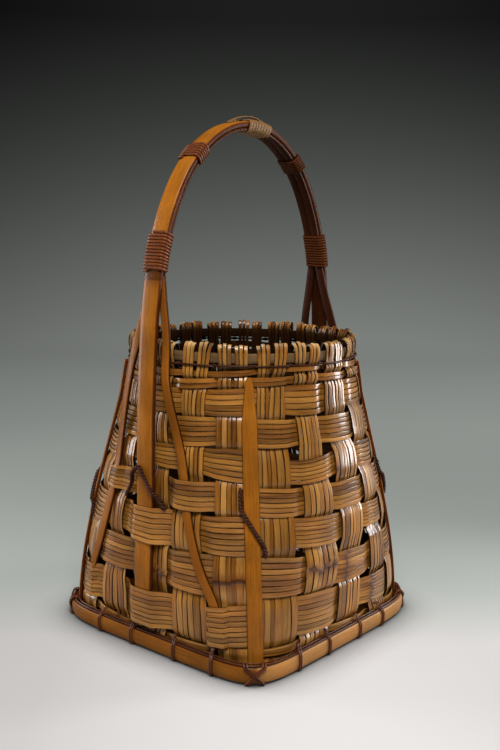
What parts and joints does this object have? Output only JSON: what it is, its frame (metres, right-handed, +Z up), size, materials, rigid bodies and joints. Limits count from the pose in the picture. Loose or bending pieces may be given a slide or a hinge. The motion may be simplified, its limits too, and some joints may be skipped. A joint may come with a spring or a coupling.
{
  "type": "flower basket",
  "caption": "Woven split-bamboo flower basket with a square foot, a round mouth and a tall arched handle, holding a loose bamboo water tube.",
  "frame": {"origin": "on the ground under the middle of the basket", "axes": "+Z up; the handle arches over in the XZ plane; the sides of the square foot face +X, -X, +Y and -Y"},
  "size_m": [0.2754, 0.2704, 0.4819],
  "materials": {
    "splint_bamboo": "lacquered split bamboo",
    "stake_bamboo": "lacquered split bamboo",
    "strip_bamboo": "glossy lacquered bamboo",
    "hoop_bamboo": "dull bamboo",
    "rattan": "stained rattan",
    "pale_cane": "flat cane",
    "dark_cord": "twisted dark cord",
    "stained_bamboo": "dark stained bamboo culm"
  },
  "bodies": {
    "basket": {"stake_01": "stake_bamboo", "stake_02": "stake_bamboo", "stake_03": "stake_bamboo", "stake_04": "stake_bamboo", "stake_05": "stake_bamboo", "stake_06": "stake_bamboo", "stake_07": "stake_bamboo", "stake_08": "stake_bamboo", "stake_09": "stake_bamboo", "stake_10": "stake_bamboo", "stake_11": "stake_bamboo", "stake_12": "stake_bamboo", "stake_13": "stake_bamboo", "stake_14": "stake_bamboo", "stake_15": "stake_bamboo", "stake_16": "stake_bamboo", "stake_17": "stake_bamboo", "stake_18": "stake_bamboo", "stake_19": "stake_bamboo", "stake_20": "stake_bamboo", "weft_01": "splint_bamboo", "weft_02": "splint_bamboo", "weft_03": "splint_bamboo", "weft_04": "splint_bamboo", "weft_05": "splint_bamboo", "weft_06": "splint_bamboo", "weft_07": "splint_bamboo", "weft_08": "splint_bamboo", "weft_09": "splint_bamboo", "weft_10": "splint_bamboo", "floor_mat": "splint_bamboo", "corner_post_front": "strip_bamboo", "corner_post_right": "strip_bamboo", "corner_post_back": "strip_bamboo", "corner_post_left": "strip_bamboo", "foot_rail": "strip_bamboo", "handle_main_strip": "strip_bamboo", "handle_strip_a": "strip_bamboo", "handle_strip_b": "strip_bamboo", "rim_hoop": "hoop_bamboo", "corner_binding_front": "rattan", "corner_binding_right": "rattan", "corner_binding_back": "rattan", "corner_binding_left": "rattan", "handle_wrap_long_left": "rattan", "handle_wrap_long_right": "rattan", "handle_wrap_short_left": "rattan", "handle_wrap_short_right": "rattan", "rail_lashing": "rattan", "handle_wrap_top": "pale_cane", "handle_top_slip": "pale_cane", "post_tie_front": "dark_cord", "post_tie_right": "dark_cord", "post_tie_back": "dark_cord", "post_tie_left": "dark_cord", "leg_tie_left": "dark_cord", "leg_tie_right": "dark_cord", "rim_twine_a": "dark_cord", "rim_twine_b": "dark_cord"},
    "tube": {"water_tube": "stained_bamboo"}
  },
  "joints": [
    {"name": "tube_lift", "type": "slide", "parent": "basket", "child": "tube", "axis": [0, 0, 1], "range_m": [0, 0.27]}
  ]
}
